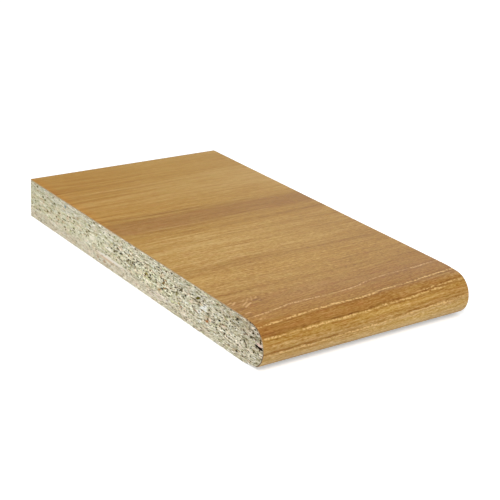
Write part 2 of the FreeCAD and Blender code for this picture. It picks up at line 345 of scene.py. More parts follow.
class ChipFace:
    """A sawn face of the board painted chip by chip: how deep each spot lies and what colour it has."""

    def __init__(self, width, height, seed, openness):
        """openness(u, v) is the share of the face left open between chips, from 0 to 1."""
        self.random = np.random.default_rng(seed)
        self.columns = int(width / CELL) + 1
        self.rows = int(height / CELL) + 1
        self.width = width
        self.height = height
        self.depth = np.full((self.rows, self.columns), 1.0)
        self.colour = np.tile(np.array(DEEP), (self.rows, self.columns, 1))
        self.bold = np.zeros((self.rows, self.columns))
        self.openness = openness

    def stamp(self, u, v, length, thickness, angle, depth, colour, bold=0.0, bend=0.0):
        """Lays one lens-shaped chip, or opens one gap, over what lies there."""
        reach = length / 2 + thickness
        c0, c1 = int(max(0, (u - reach) / CELL)), int(min(self.columns, (u + reach) / CELL + 2))
        tall = abs(math.sin(angle)) * length / 2 + thickness + abs(bend)
        r0, r1 = int(max(0, (v - tall) / CELL)), int(min(self.rows, (v + tall) / CELL + 2))
        if c0 >= c1 or r0 >= r1:
            return
        across = np.arange(c0, c1) * CELL - u
        up = (np.arange(r0, r1) * CELL - v)[:, None]
        along = across * math.cos(angle) + up * math.sin(angle)
        off = up * math.cos(angle) - across * math.sin(angle)
        share = np.clip(np.abs(along) * 2 / length, 0, 1)
        off = off - bend * (share**2 - 0.5)
        inside = np.abs(off) < thickness / 2 * (1 - share**3)
        self.depth[r0:r1, c0:c1][inside] = depth
        self.colour[r0:r1, c0:c1][inside] = colour
        self.bold[r0:r1, c0:c1][inside] = bold

    def lay_chips(self):
        """Fills the face with chips: coarse in the middle of the thickness, fine near both faces."""
        random = self.random
        shares = np.cumsum([share for share, _ in CHIP_COLOURS])
        colours = np.array([colour for _, colour in CHIP_COLOURS])
        area = self.width * self.height
        for pass_coarse in (True, False):
            count = int(area * (1.4 if pass_coarse else 3.4))
            u, v = random.uniform(0, self.width, count), random.uniform(0, self.height, count)
            middle = 1 - np.abs(v / self.height - 0.5) * 2
            coarse = np.clip((middle - 0.22) / 0.3, 0, 1)
            keep = random.random(count) < (coarse if pass_coarse else 1 - 0.8 * coarse)
            size = random.lognormal(0, 0.45, count)
            length = (4.2 if pass_coarse else 3.2) * size
            thick = (0.56 if pass_coarse else 0.34) * random.lognormal(0, 0.3, count)
            tilt = random.normal(0, 0.12 if pass_coarse else 0.04, count)
            depth = random.beta(1.6, 3.2, count) * (0.12 if pass_coarse else 0.06)
            bend = random.normal(0, 0.12 if pass_coarse else 0.04, count)
            picked = np.searchsorted(shares / shares[-1], random.random(count))
            shade = random.normal(1, 0.06, count)
            for i in np.flatnonzero(keep):
                self.stamp(u[i], v[i], length[i], thick[i], tilt[i], depth[i],
                           colours[picked[i]] * shade[i], 0.0, bend[i])

    def open_gaps(self, per_area):
        """Opens small gaps between the chips, dark with painted shade: mostly short slits, some of them round holes."""
        random = self.random
        count = int(self.width * self.height * per_area)
        for _ in range(count):
            u, v = random.uniform(0, self.width), random.uniform(0, self.height)
            if random.random() > self.openness(u / self.width, v / self.height):
                continue
            size = random.lognormal(0, 0.35)
            slit = random.random() < 0.5
            self.stamp(u, v, (2.2 if slit else 1.4) * size, (0.46 if slit else 0.7) * size**0.7,
                       random.normal(0.05, 0.15 if slit else 0.8), 0.08 + 0.14 * random.random(),
                       np.array(PIT) * random.uniform(0.3, 1.8), 1.0)

    def lay_marks(self, marks):
        """Stamps single chips and holes where they are wanted."""
        for u, v, length, thickness, tilt, depth, colour in marks:
            self.stamp(u, v, length, thickness, tilt, depth, colour, 1.0)

    def soften(self, passes=1):
        """Blurs the pictures a little, so that the mesh points read a fair mean."""
        for _ in range(passes):
            for name in ("depth", "bold", "colour"):
                picture = getattr(self, name)
                for axis in (0, 1):
                    ahead = np.roll(picture, 1, axis)
                    behind = np.roll(picture, -1, axis)
                    picture = (ahead + behind + 2 * picture) / 4
                setattr(self, name, picture)

    def read(self, u, v):
        """Depth, boldness and colour at points, in millimetres from the face's lower corner."""
        c = np.clip(np.rint(np.asarray(u) / CELL).astype(int), 0, self.columns - 1)
        r = np.clip(np.rint(np.asarray(v) / CELL).astype(int), 0, self.rows - 1)
        return self.depth[r, c], self.bold[r, c], self.colour[r, c]


def end_openness(u, v):
    """How open the sawn end is: most in the coarse middle, hardly at the faces, less towards the back."""
    middle = math.exp(-(((v - 0.56) / 0.24) ** 2))
    return (0.12 + 0.88 * middle) * (1.0 - 1.1 * max(0.0, u - 0.42))


def paint_end(seed, photographed):
    """The chips of one sawn end, from the nose to the back."""
    face = ChipFace(DEPTH, THICKNESS, seed, end_openness)
    face.lay_chips()
    face.open_gaps(0.045 if photographed else 0.1)
    face.soften()
    if photographed:
        face.lay_marks(MARKS)
        for length, thickness, depth, colour, places in HOLES:
            face.lay_marks([(u, v, length, thickness, -0.1, depth, colour) for u, v in places])
        face.soften()
        face.lay_marks(TORN)
    return face


def even_openness(u, v):
    return 0.15 + 0.85 * math.exp(-(((v - 0.5) / 0.25) ** 2))


def paint_back(seed):
    """The chips of the sawn back edge."""
    face = ChipFace(LENGTH, THICKNESS, seed, even_openness)
    face.lay_chips()
    face.open_gaps(0.15)
    face.soften()
    return face


# Chipboard

ROWS = 88
SPACING = 0.56
ROUND_SPACING = 0.3


def core_columns():
    """Places across the board, close together round the nose."""
    radius = LOWER_RADIUS - LAMINATE
    steps = np.linspace(0, math.pi / 2, int(radius * math.pi / 2 / ROUND_SPACING) + 1)
    nose = LOWER_CENTRE[0] - radius * np.cos(steps)
    rest = np.linspace(nose[-1], BACK, int((BACK - nose[-1]) / SPACING) + 1)
    return np.concatenate([nose, rest[1:]])


def core_heights(y):
    """The core's lowest and highest point at each place across the board."""
    line = surface_line(LAMINATE, 0.1)
    tip = int(np.argmin(line[:, 0]))
    upper = np.interp(y, line[:tip + 1][::-1, 0], line[:tip + 1][::-1, 1])
    reach = LOWER_RADIUS - LAMINATE
    drop = np.clip(reach**2 - (y - LOWER_CENTRE[0]) ** 2, 0, None)
    round_part = np.where(y < LOWER_CENTRE[0], LOWER_CENTRE[1] - np.sqrt(drop), 0)
    lower = np.maximum(np.maximum(round_part, bevel_height(y)), 0)
    return lower, np.maximum(upper, lower + 0.01)


def build_core(material):
    """The chipboard: relief on both sawn ends and the back edge, plain sanded faces elsewhere."""
    y = core_columns()
    lower, upper = core_heights(y)
    share = np.linspace(0, 1, ROWS + 1)[:, None]
    z = lower + (upper - lower) * share
    grid_y = np.broadcast_to(y, z.shape)
    columns = len(y)
    back_face = paint_back(41)
    back_x = np.linspace(-END, END, int(LENGTH / SPACING) + 1)
    back_z = z[:, -1]
    back_depth, back_bold, back_colour = back_face.read(
        (back_x + END)[None, :] + 0 * back_z[:, None], back_z[:, None] + 0 * back_x[None, :]
    )
    back_depth = back_depth * np.clip(0.1 + np.minimum(END - np.abs(back_x), 1.0), 0, 1)
    points, colours, bolds = [], [], []
    ends = []
    for side, face in ((-1, paint_end(7, True)), (1, paint_end(23, False))):
        depth, bold, colour = face.read(grid_y - FRONT, z)
        # The arrises stay sharp: the relief fades out within a millimetre of them
        to_edge = np.minimum(np.minimum(z - lower, upper - z), BACK - grid_y)
        depth = depth * np.clip(0.1 + to_edge / 1.0, 0, 1)
        place_y = grid_y.copy()
        place_y[:, -1] -= back_depth[:, 0 if side < 0 else -1]
        place_x = side * (END - depth)
        first = sum(len(p) for p in points)
        points.append(np.column_stack([place_x.ravel(), place_y.ravel(), z.ravel()]))
        colours.append(colour.reshape(-1, 3))
        bolds.append(bold.ravel())
        ends.append(first + np.arange(z.size).reshape(z.shape))
    inner = slice(1, -1)
    first = sum(len(p) for p in points)
    mid_x = np.broadcast_to(back_x[inner], (ROWS + 1, len(back_x) - 2))
    mid_z = np.broadcast_to(back_z[:, None], mid_x.shape)
    points.append(np.column_stack([mid_x.ravel(), (BACK - back_depth[:, inner]).ravel(), mid_z.ravel()]))
    colours.append(back_colour[:, inner].reshape(-1, 3))
    bolds.append(back_bold[:, inner].ravel())
    near, far = ends
    middle = first + np.arange(mid_x.size).reshape(mid_x.shape)
    back = np.column_stack([near[:, -1], middle, far[:, -1]])
    faces = []

    def add_grid(numbers, flip):
        a, b = numbers[:-1, :-1].ravel(), numbers[:-1, 1:].ravel()
        c, d = numbers[1:, 1:].ravel(), numbers[1:, :-1].ravel()
        faces.extend(np.column_stack([a, d, c, b] if flip else [a, b, c, d]).tolist())

    add_grid(near, True)
    add_grid(far, False)
    add_grid(back, True)
    # Long faces between the two ends: under, over, and the narrow strip at the very front
    for i in range(columns - 2):
        faces.append([near[0, i], near[0, i + 1], far[0, i + 1], far[0, i]])
        faces.append([near[-1, i + 1], near[-1, i], far[-1, i], far[-1, i + 1]])
    for j in range(ROWS):
        faces.append([near[j + 1, 0], near[j, 0], far[j, 0], far[j + 1, 0]])
    # The last strips meet the back edge's many points
    faces.append([near[0, -2], *back[0].tolist(), far[0, -2]])
    faces.append([far[-1, -2], *back[-1][::-1].tolist(), near[-1, -2]])
    piece = new_piece("Chipboard", np.vstack(points), faces, "chipboard_core", material)
    set_attribute(piece, "bold", "FLOAT", np.concatenate(bolds))
    chip = np.vstack(colours)
    set_attribute(piece, "chip", "FLOAT_COLOR", np.column_stack([chip, np.ones(len(chip))]))
    return piece


def chip_cells(n, place, bend, across, through):
    """Slivers that lie in the board's plane, so many millimetres across and through: tone and seam."""
    x, y, z = place
    at = n.join(
        n.math("MULTIPLY", x, 1 / (across * MM)),
        n.math("MULTIPLY", y, 1 / (across * MM)),
        n.math("MULTIPLY_ADD", z, 1 / (through * MM), bend),
    )
    tone = n.add("ShaderNodeTexVoronoi", {"Vector": at, "Scale": 1.0}).outputs["Color"]
    seam = n.add("ShaderNodeTexVoronoi", {"Vector": at, "Scale": 1.0}, feature="DISTANCE_TO_EDGE")
    return n.split(tone)[0], n.spread(seam.outputs["Distance"], 0.0, 0.14, 1.0, 0.0)


def chipboard_material():
    """Bare chipboard: the painted chips on sawn faces, pressed flakes on the sanded underside."""
    n = Nodes("Chipboard")
    place = n.split(n.add("ShaderNodeTexCoord").outputs["Object"])
    x, y, z = place
    facing = n.split(n.add("ShaderNodeNewGeometry").outputs["True Normal"])[2]
    sawn = n.spread(facing, -0.9, -0.75)
    from_nose = n.math("SUBTRACT", y, FRONT * MM)
    # The saw smears the chips more towards the back
    crisp = n.spread(from_nose, 0.07, 0.19, 1.0, 0.26)
    wave = n.join(n.math("MULTIPLY", x, 110.0), n.math("MULTIPLY", y, 110.0), n.math("MULTIPLY", z, 300.0))
    bend = n.math("MULTIPLY", n.math("SUBTRACT", n.noise(wave, 1.0, 2.0), 0.5), 2.0)
    coarse, coarse_seam = chip_cells(n, place, bend, 2.4, 0.54)
    fine, fine_seam = chip_cells(n, place, bend, 2.2, 0.42)
    from_middle = n.math("ABSOLUTE", n.math("SUBTRACT", z, THICKNESS * MM / 2))
    near_face = n.spread(from_middle, 0.0055, 0.0095)
    tone = n.blend(near_face, coarse, fine)
    seam = n.blend(near_face, coarse_seam, fine_seam)
    grey = ((0.0, (0.70, 0.68, 0.58)), (0.2, (0.92, 0.92, 0.88)), (0.6, (1.02, 1.02, 1.01)), (1.0, (1.20, 1.20, 1.23)))
    painted = n.attribute("chip", "Color")
    plain = n.blend(sawn, srgb(206, 196, 164), n.blend(1.0, painted, (0.925, 0.925, 0.915), "MULTIPLY"))
    colour = n.blend(crisp, plain, n.ramp(tone, grey), "MULTIPLY")
    # Torn fibres make a fine grain of light and dark, drawn out near both faces
    thin = n.math("MULTIPLY", z, 1 / (0.42 * MM))
    short, drawn = (n.noise(n.join(n.math("MULTIPLY", n.math("ADD", x, y), 1 / (reach * MM)), thin), 1.0, 1.0) for reach in (0.8, 2.2))
    calm = n.math("MAXIMUM", n.spread(z, 0.011, 0.0075), n.spread(z, 0.017, 0.0195))
    specks = n.math("MULTIPLY_ADD", n.math("SUBTRACT", drawn, short), calm, short)
    speckled = ((0.31, (0.10, 0.09, 0.03)), (0.43, (1.0, 1.0, 1.0)), (0.72, (1.40, 1.40, 1.44)))
    colour = n.blend(n.math("MULTIPLY", crisp, sawn), colour, n.ramp(specks, speckled, "LINEAR"), "MULTIPLY")
    # Painted shade in the gaps between chips darkens only some of the seams
    patchy = n.spread(n.noise(wave, 2.5, 2.0), 0.45, 0.6)
    colour = n.blend(n.math("MULTIPLY", n.math("MULTIPLY", seam, patchy), 0.34), colour, srgb(120, 110, 82))
    # Pale and dark slivers, and small holes that are finer than the mesh, dark with painted shade
    for start, tone_of, amount in ((0.0, srgb(240, 237, 222), 0.85), (31.7, srgb(116, 106, 66), 0.85)):
        grid = n.join(n.math("MULTIPLY_ADD", x, 1 / (2.3 * MM), start), n.math("MULTIPLY", y, 1 / (2.3 * MM)),
                      n.math("MULTIPLY_ADD", z, 1 / (0.38 * MM), bend))
        sliver = n.spread(n.noise(grid, 1.0, 1.0), 0.56, 0.66)
        colour = n.blend(n.math("MULTIPLY", n.math("MULTIPLY", sliver, crisp), amount * 0.8), colour, tone_of)
    holes_at = n.join(n.math("MULTIPLY", n.math("ADD", x, y), 1 / (2.1 * MM)), n.math("MULTIPLY", z, 1 / (1.2 * MM)))
    holes = n.add("ShaderNodeTexVoronoi", {"Vector": holes_at, "Scale": 1.0}, voronoi_dimensions="2D")
    chance = n.split(holes.outputs["Color"])
    loose = n.math("MULTIPLY", n.spread(from_middle, 0.0098, 0.004, 0.35, 1.0), n.spread(from_nose, 0.07, 0.19, 1.0, 0.12))
    there = n.math("LESS_THAN", chance[0], n.math("MULTIPLY", loose, n.spread(from_nose, 0.04, 0.08, 0.32, 0.42)))
    size = n.math("MULTIPLY_ADD", chance[1], 0.14, 0.24)
    off = n.math("DIVIDE", holes.outputs["Distance"], size)
    colour = n.blend(n.math("MULTIPLY", n.math("MULTIPLY", n.spread(off, 2.2, 1.5), there), sawn), colour, (1.12, 1.12, 1.12), "MULTIPLY")
    hole = n.math("MULTIPLY", n.spread(off, 1.15, 0.8), there)
    hole = n.math("MULTIPLY", n.math("MULTIPLY", hole, sawn), n.spread(chance[2], 0.0, 0.8, 0.35, 1.0))
    colour = n.blend(hole, colour, n.ramp(chance[1], ((0.0, srgb(84, 76, 22)), (0.5, srgb(42, 34, 10)), (0.9, srgb(84, 58, 24)))))
    colour = n.blend(n.math("MULTIPLY", n.spread(n.attribute("bold", "Fac"), 0.3, 0.7), sawn), colour, painted)
    tints = n.noise(n.join(n.math("MULTIPLY", n.math("ADD", x, y), 150.0), n.math("MULTIPLY", z, 260.0)), 1.0, 1.0)
    colour = n.blend(n.math("MULTIPLY", n.spread(tints, 0.54, 0.68), sawn), colour, (0.97, 1.0, 1.03), "MULTIPLY")
    colour = n.blend(n.math("MULTIPLY", n.spread(tints, 0.46, 0.32), sawn), colour, (1.03, 0.98, 0.98), "MULTIPLY")
    clearer = n.math("MULTIPLY", n.spread(from_middle, 0.006, 0.003), n.math("MULTIPLY", n.spread(from_nose, 0.12, 0.1), sawn))
    colour = n.blend(clearer, colour, (1.05, 1.05, 1.05), "MULTIPLY")
    # The upper chips darken in a stretch behind the nose, and as painted shade towards the back
    above = n.spread(z, 0.014, 0.017)
    darker_above = n.math("MAXIMUM", n.math("MULTIPLY", n.spread(from_nose, 0.024, 0.034), n.spread(from_nose, 0.08, 0.066)), n.spread(from_nose, 0.14, 0.17))
    colour = n.blend(n.math("MULTIPLY", above, darker_above), colour, (0.92, 0.92, 0.91), "MULTIPLY")
    # Dust and handling grey the nose, the middle is greener, and the lower face's fine chips are rosier
    lower_less = n.spread(z, 0.006, 0.018, 0.65, 1.0)
    for reach, grime in ((0.11, (0.85, 0.83, 0.81)), (0.035, (0.84, 0.81, 0.79))):
        handled = n.math("MULTIPLY", n.spread(from_nose, reach, 0.0), lower_less)
        colour = n.blend(handled, colour, grime, "MULTIPLY")
    # Painted shade: darker towards the back
    colour = n.blend(n.spread(from_nose, 0.18, 0.215), colour, (0.95, 0.95, 0.92), "MULTIPLY")
    greener = n.math("MULTIPLY", n.spread(from_middle, 0.008, 0.003), n.math("MULTIPLY", n.spread(from_nose, 0.05, 0.1), sawn))
    colour = n.blend(greener, colour, (1.02, 1.025, 0.98), "MULTIPLY")
    rosy = n.math("MULTIPLY", n.spread(from_nose, 0.03, 0.09), n.spread(z, 0.0085, 0.003))
    colour = n.blend(n.math("MULTIPLY", n.math("MULTIPLY", rosy, sawn), 0.3), colour, srgb(216, 200, 178))
    fibres = n.noise(n.join(n.math("MULTIPLY", x, 900.0), n.math("MULTIPLY", y, 900.0), n.math("MULTIPLY", z, 7000.0)), 1.0, 2.0)
    height = n.math("ADD", n.math("MULTIPLY", tone, 0.5), n.math("MULTIPLY", fibres, 0.4))
    sunk = n.math("MULTIPLY_ADD", hole, 2.0, n.math("MULTIPLY", seam, 0.4))
    relief = n.bump(n.math("SUBTRACT", height, sunk), 0.00012, 0.5)
    return n.finish(colour, 0.85, relief, **{"Specular IOR Level": 0.03})


# Laminate

SHEET_STEP = 0.6
RIM_STEPS = (0.0, 0.12, 0.3, 0.7)


def build_laminate(material):
    """The laminate: an even skin with slightly chipped arrises where the saw came through."""
    outer = surface_line(0.0, SHEET_STEP)
    inner_line = surface_line(LAMINATE, SHEET_STEP)
    run = run_lengths(outer)
    total = run[-1]
    # The glued face gets as many points as the outer face, at the same share of its way
    inner_run = run_lengths(inner_line)
    at = np.interp(run, [0, total], [0, inner_run[-1]])
    inner = np.column_stack([np.interp(at, inner_run, inner_line[:, k]) for k in (0, 1)])
    random = np.random.default_rng(5)
    xs = np.concatenate([-END + np.array(RIM_STEPS), [0.0], END - np.array(RIM_STEPS[::-1])])
    count, width = len(run), len(xs)
    chipping = np.zeros((count, width))
    for side, columns in ((0, range(4)), (1, range(width - 1, width - 5, -1))):
        nick = np.clip(random.normal(-0.05, 0.09, count), 0, 0.3)
        nick = np.clip(nick + 0.02, 0, 0.3)
        for step, column in enumerate(columns):
            chipping[:, column] = np.maximum(0, nick * (1, 0.45, 0.12, 0)[step])
    slopes = np.gradient(outer, axis=0)
    slopes /= np.linalg.norm(slopes, axis=1)[:, None]
    inward = np.column_stack([-slopes[:, 1], slopes[:, 0]])
    inward *= np.sign((inner - outer)[:, None, :] @ inward[:, :, None])[:, 0]
    points, sheet = [], []
    for i in range(count):
        for j in range(width):
            y, z = outer[i] + inward[i] * chipping[i, j]
            points.append((xs[j], y, z))
            sheet.append((xs[j], run[i], chipping[i, j]))
    for i in range(count):
        for j in range(width):
            points.append((xs[j], *inner[i]))
            sheet.append((xs[j], run[i], LAMINATE))
    upper = np.arange(count * width).reshape(count, width)
    lower = upper + count * width
    faces = []
    for i in range(count - 1):
        for j in range(width - 1):
            faces.append([upper[i, j], upper[i + 1, j], upper[i + 1, j + 1], upper[i, j + 1]])
            faces.append([lower[i, j], lower[i, j + 1], lower[i + 1, j + 1], lower[i + 1, j]])
        faces.append([upper[i + 1, 0], upper[i, 0], lower[i, 0], lower[i + 1, 0]])
        faces.append([upper[i, -1], upper[i + 1, -1], lower[i + 1, -1], lower[i, -1]])
    for j in range(width - 1):
        faces.append([upper[0, j], upper[0, j + 1], lower[0, j + 1], lower[0, j]])
        faces.append([upper[-1, j + 1], upper[-1, j], lower[-1, j], lower[-1, j + 1]])
    faces = [[int(v) for v in f] for f in faces]
    piece = new_piece("Laminate", points, faces, "laminate_facing", material)
    set_attribute(piece, "sheet", "FLOAT_VECTOR", sheet)
    smooth = np.zeros(len(piece.data.polygons), bool)
    for i, polygon in enumerate(piece.data.polygons):
        smooth[i] = len(set(v >= count * width for v in polygon.vertices)) == 1
    piece.data.polygons.foreach_set("use_smooth", smooth)
    return piece


HONEY, GOLD, AMBER, RUSSET = srgb(187, 145, 70), srgb(182, 138, 60), srgb(174, 130, 55), srgb(163, 116, 49)
# STRAW lies under the nose and is pale partly as its tone, partly as painted light from the floor below
RESIN, OLIVE, STRAW = srgb(158, 111, 48), srgb(180, 139, 69), srgb(199, 161, 87)
CREAM, PALE = srgb(222, 182, 116), srgb(216, 175, 118)
UMBER = (0.60, 0.44, 0.08)

# Where each tone lies along the sheet, in millimetres from the back edge
BANDS = (
    (0, HONEY), (12, GOLD), (30, GOLD), (38, HONEY), (60, HONEY), (68, GOLD), (77, GOLD), (83, AMBER), (87, RUSSET),
    (99, RUSSET), (103, AMBER), (111, GOLD), (118, HONEY), (146, HONEY), (157, AMBER), (167, GOLD), (186, AMBER),
    (200, RUSSET), (213, RUSSET), (217, RESIN), (222, RESIN), (225, OLIVE), (231, OLIVE), (235, STRAW),
)
SHEET_LENGTH = 241.5

# Growth rings that show as lines of cream dashes, by points (x, distance along the sheet)
RINGS = (
    dict(points=((-62, 211.6), (-50, 210.0), (-32, 207.8), (-6, 207.7), (5, 206.7), (9, 205.2), (18, 203.5),
                 (28, 202.7), (44, 202.2), (62, 200.8)),
         half=0.58, cream=0.94, tone=PALE, dash=11.0, lift=0.25, above=0.34, below=0.14),
    dict(points=((-62, 219.2), (-50, 218.4), (-40, 217.6), (-30, 216.8), (-18, 216.5), (2, 216.5), (14, 214.9),
                 (34, 214.1), (46, 213.0), (62, 212.1)),
         half=0.52, cream=1.0, tone=CREAM, dash=6.0, lift=0.6, above=0.40, below=0.50),
    dict(points=((-62, 225.0), (-48, 225.2), (-34, 224.9), (-20, 224.7), (0, 224.3), (10, 223.5), (26, 223.4),
                 (38, 222.4), (50, 222.3), (62, 222.2)),
         half=0.44, cream=0.90, tone=CREAM, dash=5.0, lift=0.6, above=0.85, below=0.60, until=48),
    dict(points=((-62, 221.4), (20, 221.3), (34, 221.2), (46, 220.8), (55, 220.5), (62, 220.4)),
         half=0.38, cream=0.72, tone=CREAM, dash=5.0, lift=0.5, above=0.60, below=0.65, since=31),
    dict(points=((-62, 228.9), (-50, 229.1), (-30, 229.6), (62, 229.6)),
         half=0.50, cream=0.40, tone=CREAM, dash=7.0, lift=0.4, above=0.20, below=0.0, until=-34),
    dict(points=((-62, 233.4), (-46, 233.0), (-30, 232.9), (-12, 232.2), (4, 231.8), (18, 231.3), (26, 230.6),
                 (40, 230.2), (52, 229.6), (62, 228.7)),
         half=0.54, cream=1.0, tone=CREAM, dash=7.5, lift=0.6, above=0.90, below=0.25),
)
# Soft dark lines between them: points, half width, strength at the near end and at the far one
STREAKS = (
    (((-62, 29.5), (-20, 29.2), (20, 29.0), (62, 28.4)), 2.2, 0.46, 0.05),
    (((-62, 38.8), (-20, 39.0), (20, 39.0), (62, 39.0)), 1.8, 0.34, 0.0),
    (((-62, 78.0), (-20, 81.0), (20, 82.0), (62, 82.0)), 3.0, 0.50, 0.0),
    (((-62, 92.0), (-20, 92.0), (15, 92.5), (62, 93.0)), 3.0, 0.0, 0.24),
    (((-62, 112.6), (-20, 111.0), (15, 110.5), (62, 108.5)), 3.0, 0.30, 0.60),
    (((-62, 122.6), (-38, 123.0), (2, 122.4), (16, 122.6), (62, 122.0)), 1.8, 0.30, 0.22),
    (((-62, 136.6), (-20, 136.0), (20, 135.0), (36, 134.5), (62, 134.5)), 1.8, 0.08, 0.30),
    (((-62, 154.6), (-20, 157.0), (20, 157.4), (62, 157.0)), 3.0, 0.14, 0.32),
    (((-62, 174.6), (-20, 175.6), (10, 176.0), (62, 175.5)), 2.0, 0.26, 0.24),
    (((-62, 187.0), (-28, 185.6), (10, 186.0), (40, 186.0), (62, 186.6)), 2.2, 0.24, 0.34),
    (((-62, 223.0), (20, 224.0), (40, 224.2), (62, 224.2)), 0.8, 0.50, 0.50),
    (((-62, 227.8), (20, 228.0), (40, 227.2), (62, 226.2)), 1.4, 0.0, 0.56),
)
# Pale flecks and darker spots of a small knot: from and to (x, distance along the sheet), half width, strength
FLECKS = (
    (-61.6, 195.2, -59.4, 194.3, 0.40, 0.8),
    (-60.1, 196.8, -57.7, 194.9, 0.45, 1.0),
    (-61.8, 197.2, -60.4, 196.6, 0.40, 0.6),
    (-59.9, 192.0, -58.8, 191.4, 0.45, 0.4),
    (-53.9, 195.7, -52.5, 194.4, 0.42, 0.5),
    (-56.0, 199.2, -52.5, 196.9, 0.40, 0.9),
    (-56.1, 201.4, -51.5, 198.6, 0.45, 1.1),
    (-51.7, 195.8, -50.0, 194.2, 0.40, 0.5),
    (-49.1, 196.3, -47.3, 192.7, 0.42, 0.5),
    (-46.4, 195.1, -45.3, 194.1, 0.45, 0.7),
    (-46.0, 197.7, -45.1, 197.2, 0.40, 0.5),
    (-61.6, 204.5, -60.4, 204.0, 0.38, 0.5),
    (-60.5, 207.3, -57.4, 206.9, 0.40, 0.8),
    (-58.6, 207.0, -57.6, 206.8, 0.50, 0.8),
    (-57.2, 214.2, -56.6, 214.1, 0.50, 0.8),
    (-55.0, 214.5, -54.6, 214.2, 0.40, 0.5),
    (-48.6, 196.9, -46.3, 196.5, 0.70, -0.8),
    (-46.0, 199.0, -44.1, 194.2, 0.80, -0.4),
    (-59.4, 209.4, -57.8, 208.4, 0.80, -0.3),
)


def ring_offset(n, along, run, points):
    """How far a place lies above a line, on the side towards the back edge."""
    low = min(p[1] for p in points) - 1
    high = max(p[1] for p in points) + 1
    places = [((px + END) / LENGTH, (pr - low) / (high - low)) for px, pr in points]
    line = n.math("MULTIPLY_ADD", n.curve(along, places), high - low, low)
    return n.math("SUBTRACT", line, run)


def dashes(n, x, seed, length, start):
    """Cuts a line into dashes: the place within one, from -0.5 to 0.5, and a number of its own from 0 to 1."""
    drift = n.noise(n.join(n.math("MULTIPLY", x, 0.09), seed), 1.0, 1.0)
    phase = n.math("MULTIPLY_ADD", drift, 1.4, n.math("MULTIPLY_ADD", x, 1 / length, start))
    number = n.add("ShaderNodeTexWhiteNoise", {"Vector": n.join(n.math("FLOOR", phase), seed)}).outputs["Value"]
    return n.math("SUBTRACT", n.math("FRACT", phase), 0.5), number


def stroke(n, place, start, end, half):
    """How much of a short soft stroke is at a place, from 0 to 1."""
    here = n.add("ShaderNodeVectorMath", {0: place, 1: (*start, 0.0)}, operation="SUBTRACT").outputs[0]
    way = (end[0] - start[0], end[1] - start[1], 0.0)
    long = way[0] ** 2 + way[1] ** 2
    share = n.add("ShaderNodeVectorMath", {0: here, 1: tuple(v / long for v in way)}, operation="DOT_PRODUCT")
    held = n.spread(share.outputs["Value"], 0.0, 1.0, smooth=False)
    on_line = n.add("ShaderNodeVectorMath", {0: way, "Scale": held}, operation="SCALE").outputs[0]
    off = n.add("ShaderNodeVectorMath", {0: here, 1: on_line}, operation="DISTANCE").outputs["Value"]
    return n.spread(off, half * 1.6, half * 0.4)


